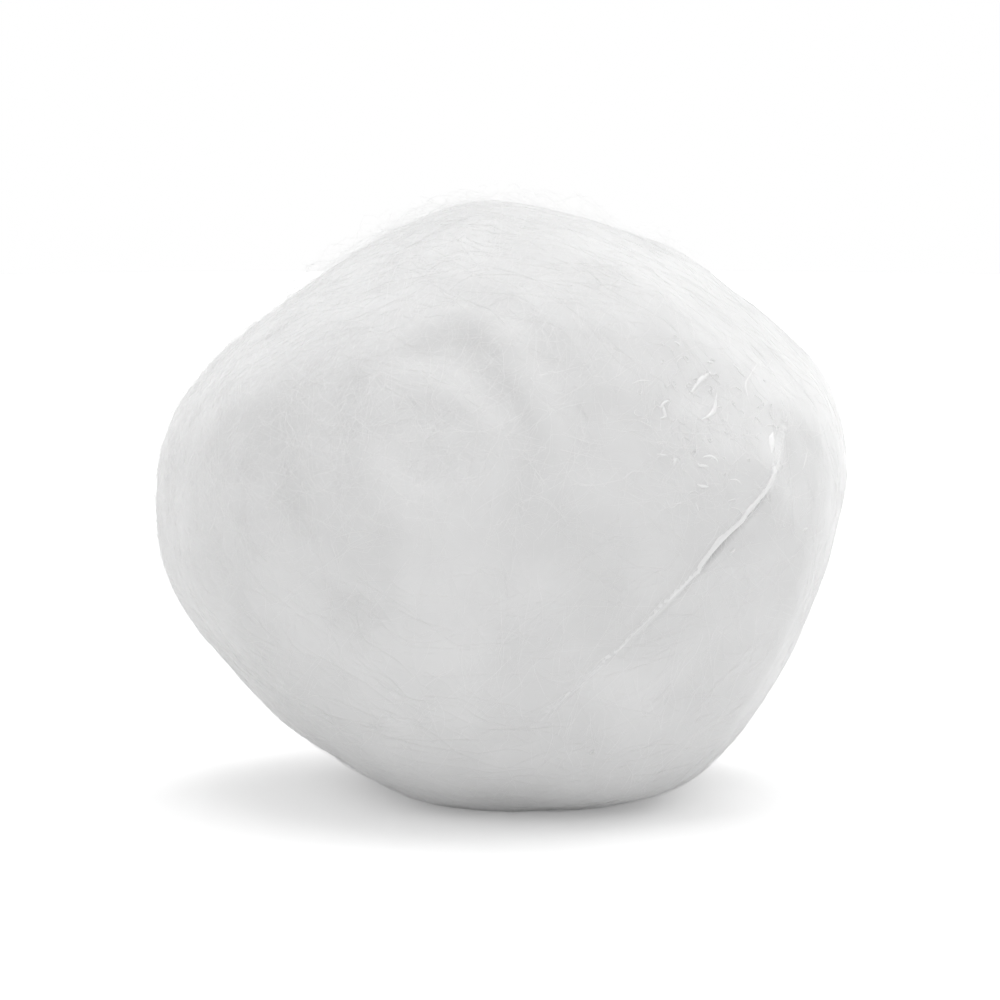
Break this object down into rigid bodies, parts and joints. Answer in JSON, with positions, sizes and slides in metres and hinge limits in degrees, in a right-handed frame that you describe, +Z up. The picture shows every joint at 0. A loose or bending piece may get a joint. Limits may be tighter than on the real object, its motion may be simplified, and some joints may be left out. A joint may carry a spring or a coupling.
{
  "type": "cotton ball",
  "caption": "Soft round ball of loose bleached cotton fibre, rolled up from a short web, for wiping, dabbing and padding.",
  "frame": {"origin": "on the resting surface, under the middle of the ball's box", "axes": "+Z up, +X to the right across the ball's widest side, -Y to the front, where the end of the coil shows"},
  "size_m": [0.0398, 0.0376, 0.0341],
  "materials": {
    "cotton": "loose bleached cotton fibre, white and matt"
  },
  "bodies": {
    "root": {"cotton_ball": "cotton"}
  },
  "joints": []
}
